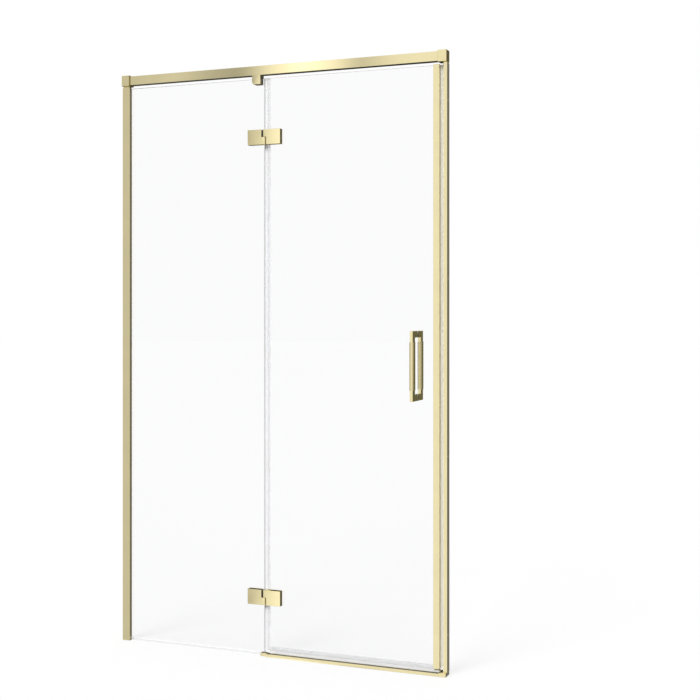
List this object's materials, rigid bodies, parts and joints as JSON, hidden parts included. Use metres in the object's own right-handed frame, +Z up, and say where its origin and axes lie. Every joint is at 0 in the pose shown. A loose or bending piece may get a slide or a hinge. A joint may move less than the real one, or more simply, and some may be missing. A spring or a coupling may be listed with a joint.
{
  "type": "hinged shower door",
  "caption": "In-line shower enclosure front: a fixed glass panel carries an outward-opening hinged glass door, with a stabilising rail, wall profiles, pull handle and low threshold.",
  "frame": {"origin": "on the floor, midway between the two walls, in the glass mid-plane", "axes": "+X along the front from the left wall to the right wall, +Y from the dry side in front to the wet side behind, +Z up"},
  "size_m": [1.2, 0.1148, 2],
  "materials": {
    "clear_glass": "clear tempered glass",
    "gold_profile": "satin light gold anodised",
    "gold_hardware": "satin light gold plated",
    "clear_seal": "clear flexible plastic",
    "magnet_seal": "pale translucent plastic over a magnet strip",
    "soft_pad": "pale soft gasket",
    "bearing_nylon": "dark bearing plastic",
    "steel_fastener": "stainless steel"
  },
  "bodies": {
    "frame": {"left_wall_profile": "gold_profile", "left_profile_gasket": "clear_seal", "right_wall_profile": "gold_profile", "wall_magnet_seal": "magnet_seal", "fixed_glass": "clear_glass", "fixed_glass_foot": "clear_seal", "top_rail": "gold_profile", "left_corner_connector": "gold_profile", "right_corner_connector": "gold_profile", "rail_bracket": "gold_profile", "rail_bracket_liner": "clear_seal", "rail_bracket_screw": "steel_fastener", "threshold_bar": "gold_profile", "threshold_left_cap": "gold_profile", "threshold_right_cap": "gold_profile", "upper_hinge_fixed_leaf": "gold_hardware", "upper_hinge_fixed_pad": "soft_pad", "upper_hinge_fixed_bush": "clear_seal", "upper_hinge_fixed_clamp": "gold_hardware", "upper_hinge_fixed_screw": "steel_fastener", "upper_hinge_pin": "steel_fastener", "lower_hinge_fixed_leaf": "gold_hardware", "lower_hinge_fixed_pad": "soft_pad", "lower_hinge_fixed_bush": "clear_seal", "lower_hinge_fixed_clamp": "gold_hardware", "lower_hinge_fixed_screw": "steel_fastener", "lower_hinge_pin": "steel_fastener"},
    "door": {"door_glass": "clear_glass", "door_edge_profile": "gold_profile", "door_magnet_seal": "magnet_seal", "hinge_side_seal": "clear_seal", "bottom_drip_seal": "clear_seal", "outer_handle_upper_end": "gold_hardware", "outer_handle_lower_end": "gold_hardware", "outer_handle_grip": "gold_hardware", "inner_handle_upper_end": "gold_hardware", "inner_handle_lower_end": "gold_hardware", "inner_handle_grip": "gold_hardware", "outer_handle_upper_pad": "soft_pad", "outer_handle_lower_pad": "soft_pad", "inner_handle_upper_pad": "soft_pad", "inner_handle_lower_pad": "soft_pad", "handle_upper_stud": "steel_fastener", "handle_lower_stud": "steel_fastener", "upper_hinge_door_leaf": "gold_hardware", "upper_hinge_door_pad": "soft_pad", "upper_hinge_door_bush": "clear_seal", "upper_hinge_door_clamp": "gold_hardware", "upper_hinge_door_screw": "steel_fastener", "upper_hinge_sleeve": "bearing_nylon", "lower_hinge_door_leaf": "gold_hardware", "lower_hinge_door_pad": "soft_pad", "lower_hinge_door_bush": "clear_seal", "lower_hinge_door_clamp": "gold_hardware", "lower_hinge_door_screw": "steel_fastener", "lower_hinge_sleeve": "bearing_nylon"}
  },
  "joints": [
    {"name": "door_swing", "type": "hinge", "parent": "frame", "child": "door", "pos_m": [-0.0445, -0.0175, 0.978], "axis": [0, 0, -1], "range_deg": [0, 100]}
  ]
}
